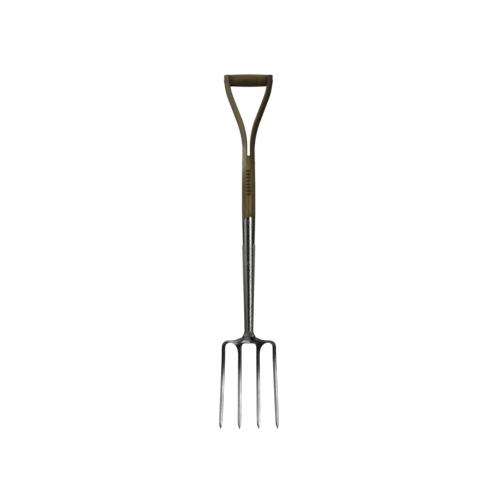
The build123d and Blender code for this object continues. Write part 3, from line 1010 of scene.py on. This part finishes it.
def wood(name, along_x=False):
    """Weathered ash: ring lines, open pores, grey patches and hand grime under thin varnish, plus
    painted highlights and painted shade.

    The grain runs along the grip, or along the shaft and its limbs, as stored on their points."""
    material, nodes, shader = new_material(name, (0.22, 0.17, 0.09))
    where = object_coordinates(nodes)
    x, y, z = nodes.split(where)
    if along_x:
        node = nodes.add("CombineXYZ")
        for value, socket in zip((y, z, x), node.inputs):
            nodes.put(value, socket)
        grain = node.outputs[0]
    else:
        grain = nodes.add("Attribute", attribute_name="grain_pos").outputs["Vector"]
    gx, gy, gz = nodes.split(grain)
    drift = nodes.noise(grain, (26, 26, 3.2), 2)
    ring_x = nodes.plus(gx, 0.031, nodes.times(drift, 0.012))
    ring_y = nodes.plus(gy, -0.93 if along_x else 0.047)
    square = nodes.plus(nodes.math("POWER", ring_x, 2.0), nodes.math("POWER", ring_y, 2.0))
    rings = nodes.math("FRACT", nodes.times(nodes.math("SQRT", square), RINGS_PER_METRE))
    late = nodes.ramp(rings, [(0.0, 0.15), (0.45, 0.0), (0.82, 0.75), (0.94, 1.0), (1.0, 0.2)])
    streak = nodes.noise(grain, (900, 900, 14), 4, 0.65)
    stripe = nodes.noise(grain, (330, 330, 5), 3, 0.6)
    pores = nodes.noise(grain, (2300, 2300, 60), 2, 0.6)
    blotch = nodes.noise(where, (38, 38, 13), 5, 0.6)
    slow = nodes.noise(where, (17, 17, 7), 3, 0.55)
    uneven = nodes.times_plus(nodes.minus(blotch, 0.5), 0.05, z)

    tone = nodes.ramp(streak, ASH_STREAKS)
    tone = nodes.mix(nodes.span(stripe, 0.40, 0.62, 0.62, 0.0), tone, DARK_STRIPE)
    tone = nodes.mix(nodes.span(stripe, 0.55, 0.72, 0.0, 0.5), tone, PALE_STRIPE)
    tone = nodes.mix(nodes.times(late, 0.55), tone, LATE_WOOD)
    grey = nodes.span(blotch, 0.47, 0.68, 0, 0.6)
    if not along_x:
        # Painted highlight: the left side of the upper stem is lightened as if lit, on top of the
        # random grey patches.
        left_painted_highlight = nodes.times(nodes.span(gx, -0.003, -0.010), nodes.span(gz, 0.67, 0.76, 0, 0.62))
        # Heartwood brown, partly painted shade: it darkens the right half of the stem and the whole
        # right limb, the side away from the light.
        heart_and_shade = nodes.span(nodes.times_plus(nodes.minus(slow, 0.5), 0.02, gx), 0.0, 0.007)
        heart_and_shade = nodes.times(heart_and_shade, nodes.span(gz, 0.70, 0.81, 0.15, 0.86))
        tone = nodes.mix(heart_and_shade, tone, HEARTWOOD_AND_RIGHT_SHADE)
        grey = nodes.times(nodes.most(grey, left_painted_highlight), nodes.minus(1.0, heart_and_shade))
    tone = nodes.mix(grey, tone, GREY_AND_HIGHLIGHT_TONE)
    tone = nodes.mix(nodes.span(pores, 0.60, 0.68, 0, 0.75), tone, PORE)
    tone = nodes.mix(nodes.span(slow, 0.52, 0.72, 0, 0.55), tone, STAIN)
    height = nodes.minus(nodes.times(streak, 0.5), nodes.span(pores, 0.58, 0.68, 0, 0.6))
    height = nodes.times_plus(late, 0.35, height)
    if along_x:
        # Painted shade at the grip's ends and underside.
        tone = nodes.mix(grip_painted_shade(nodes, x, blotch, uneven), tone, GRIME_AND_SHADE)
        tone = nodes.mix(1.0, tone, GRIP_TINT, "MULTIPLY")
    else:
        # Grime on the limbs, painted shade in the crotch, and darkening above the socket.
        tone = nodes.mix(shaft_grime_and_shade(nodes, x, z, uneven), tone, GRIME_AND_SHADE)
        # Painted highlights on the stem.
        tone = shaft_painted_highlights(nodes, tone, x, gx, gy, uneven)
        mark = burnt_mark(nodes, where)
        tone = nodes.mix(nodes.times(mark, 0.93), tone, CHAR)
        height = nodes.minus(height, nodes.times(mark, 2.5))
    shine = nodes.span(streak, 0.3, 0.7, 0.62, 0.46)
    pitted = nodes.bump(height, 0.00016)
    nodes.fill(shader, {"Base Color": tone, "Roughness": shine, "Normal": pitted})
    nodes.fill(shader, {"Specular IOR Level": 0.35, "Coat Weight": 0.12, "Coat Roughness": 0.25})
    return material


# --- The fork ---

tine_steel = steel(
    "tine_steel", (0.85, 0.875, 0.845), (0.62, 0.64, 0.61), (0.19, 0.29), 0.000003, 0.0002,
    specks=0.2, crown=True
)
socket_steel = steel(
    "socket_steel", (0.86, 0.86, 0.84), (0.62, 0.62, 0.60), (0.085, 0.15), 0.000002, 0.0001,
    specks=0.12
)
rivet_steel = steel(
    "rivet_steel", (0.50, 0.49, 0.46), (0.28, 0.27, 0.24), (0.34, 0.5), 0.00004, 0.0003
)
weld_steel = weld_material()
ash = wood("weathered_ash")
grip_ash = wood("shaded_grip_ash", along_x=True)

build_head(tine_steel)
build_weld(weld_steel)
build_socket(socket_steel)
build_shaft(ash)
build_grip(grip_ash)

two_headed("peened_grip_rod", "grip_rod", GRIP_Z, GRIP_ROD, LIMB_FACE + PROUD, rivet_steel)
two_headed(
    "crotch_rivet_pin", "crotch_rivet", CROTCH_RIVET_Z, CROTCH_PIN, BURR_FACE + PROUD, rivet_steel
)
for word, side in (("left", -1), ("right", 1)):
    washer(
        f"grip_washer_{word}_ring", f"grip_washer_{word}", side, GRIP_WASHER, LIMB_FACE + PROUD,
        LIMB_FACE - WASHER_SINK, GRIP_Z, rivet_steel
    )
    washer(
        f"crotch_burr_{word}_ring", f"crotch_burr_{word}", side, CROTCH_BURR, BURR_FACE + PROUD,
        BURR_BACK, CROTCH_RIVET_Z, rivet_steel
    )
for word, z in (("lower", LOWER_RIVET_Z), ("upper", UPPER_RIVET_Z)):
    strap_rivet(f"{word}_strap_rivet", f"strap_rivet_{word}", z, socket_steel)


# --- Floor, studio and camera ---

FLOOR_Z = -0.34
FLOOR_HALF = 30.0


def build_floor():
    """A pale floor that only the camera sees, so that it casts nothing back at the fork."""
    material, nodes, shader = new_material("pale_floor", (0.95, 0.95, 0.95))
    where = object_coordinates(nodes)
    mottle = nodes.noise(where, (0.8, 0.8, 0.8), 3)
    tone = nodes.mix(mottle, (0.93, 0.93, 0.93), (0.97, 0.97, 0.965))
    nodes.fill(shader, {"Base Color": tone, "Roughness": 0.9})
    nodes.fill(shader, {"Emission Color": (1, 1, 1, 1), "Emission Strength": 1.0})
    steps = 8
    marks = [FLOOR_HALF * (2 * i / steps - 1) for i in range(steps + 1)]
    points = [(x, y, FLOOR_Z) for y in marks for x in marks]
    floor = new_piece("floor", points, grid_faces(steps + 1, steps + 1, False))
    floor.data.materials.append(material)
    floor.visible_diffuse = False
    floor.visible_glossy = False
    floor.visible_shadow = False


HORIZON = [
    (0.0, 0.02), (0.35, 0.06), (0.42, 0.15), (0.47, 0.35), (0.6, 0.40), (0.8, 0.70), (1.0, 0.85)
]
DARK_ZONES = 0.012  # light that the darkest zones still give
DIFFUSE_SHARE = 0.06  # share of the zones' light that dull surfaces get, besides the soft lights


def studio_zones(nodes, azimuth, height):
    """How bright the studio is, by azimuth and height in degrees.

    Azimuth 0 is straight in front of the fork, and its right is positive. Below the horizon the
    near left zone and the strip move to the right."""
    def band(value, low, high, edge):
        rise = nodes.span(value, low - edge, low + edge)
        return nodes.times(rise, nodes.span(value, high + edge, high - edge))

    horizon = nodes.ramp(nodes.span(height, -20, 20, smooth=False), HORIZON)
    slant = nodes.times(nodes.math("MINIMUM", nodes.plus(height, 2.0), 0.0), 5.5)
    slanted = nodes.plus(azimuth, nodes.most(slant, -22.0))
    near_left = nodes.times(band(slanted, -80, -41, 4), 1.3)
    far_left = nodes.times(band(azimuth, -170, -84, 4), 0.5)
    right = nodes.times(band(azimuth, 80, 178, 5), 0.5)
    sides = nodes.times(nodes.plus(near_left, far_left, right), horizon)
    strip = nodes.times(band(slanted, 16, 40, 2.0), nodes.span(height, -6.5, -4.9, 0.12, 1.4))
    strip = nodes.times(strip, nodes.span(height, 3, 18, 1.0, 0.5))
    panel = nodes.times(band(azimuth, 28, 90, 5), nodes.span(height, 0, 11, 0, 0.8))
    front = nodes.times(band(azimuth, -52, 16, 4), nodes.span(height, 2, 14, 0, 0.42))
    ground = nodes.times(nodes.span(height, -20, -32), nodes.span(azimuth, 6, -4, 0.05, 0.85))
    ceiling = nodes.span(height, 22, 45, 0, 1.0)
    return nodes.plus(nodes.most(sides, strip, panel, ceiling, front, ground), DARK_ZONES)


def build_studio():
    """White to the camera; to the fork, a studio of lit and dark zones all round."""
    world = bpy.data.worlds.new("studio")
    scene.world = world
    world.use_nodes = True
    nodes = Nodes(world.node_tree)
    x, y, z = nodes.split(nodes.add("TexCoord").outputs["Generated"])
    azimuth = nodes.math("DEGREES", nodes.math("ARCTAN2", x, nodes.times(y, -1.0)))
    height = nodes.math("DEGREES", nodes.math("ARCSINE", z))
    path = nodes.add("LightPath")
    share = nodes.span(path.outputs["Is Diffuse Ray"], 0, 1, 1.0, DIFFUSE_SHARE, False)
    strength = nodes.times(studio_zones(nodes, azimuth, height), share)
    studio, white = nodes.add("Background"), nodes.add("Background")
    nodes.fill(studio, {"Color": (1.0, 0.995, 0.985, 1), "Strength": strength})
    nodes.fill(white, {"Color": (1, 1, 1, 1)})
    choose = nodes.add("MixShader")
    output = nodes.add("OutputWorld")
    choices = (path.outputs["Is Camera Ray"], studio.outputs[0], white.outputs[0])
    for value, socket in zip(choices, choose.inputs):
        nodes.put(value, socket)
    nodes.put(choose.outputs[0], output.inputs[0])


LIGHT_AIM = (0, 0, 0.75)


def soft_light(name, place_at, width, power):
    """A square lamp aimed at the shaft, which shows in no reflection."""
    data = bpy.data.lights.new(name, "AREA")
    data.shape = "RECTANGLE"
    data.size, data.size_y = width, width
    data.energy = power
    lamp = bpy.data.objects.new(name, data)
    lamp.location = place_at
    lamp.rotation_euler = (Vector(LIGHT_AIM) - Vector(place_at)).to_track_quat("-Z", "Y").to_euler()
    lamp.visible_camera = False
    lamp.visible_glossy = False
    scene.collection.objects.link(lamp)


CAMERA_DISTANCE = 4.0
CAMERA_HEIGHT = 0.5087
CAMERA_X = 0.0036
CAMERA_ROLL = radians(0.1)
SENSOR_WIDTH = 36.0
FRAME_WIDTH = 1.428  # metres across the frame at the fork


def build_camera():
    data = bpy.data.cameras.new("camera")
    data.sensor_width = SENSOR_WIDTH
    data.lens = SENSOR_WIDTH * CAMERA_DISTANCE / FRAME_WIDTH
    camera = bpy.data.objects.new("camera", data)
    camera.location = (CAMERA_X, AXIS_Y - CAMERA_DISTANCE, CAMERA_HEIGHT)
    camera.rotation_euler = (pi / 2, CAMERA_ROLL, 0)
    scene.collection.objects.link(camera)
    scene.camera = camera


build_floor()
build_studio()
soft_light("key", (-0.45, -1.65, 2.25), 0.6, 33)
soft_light("back_right", (1.0, 1.5, 1.9), 0.8, 22)
soft_light("back_left", (-1.3, 1.2, 1.9), 0.8, 18)
build_camera()
scene.view_settings.view_transform = "Standard"
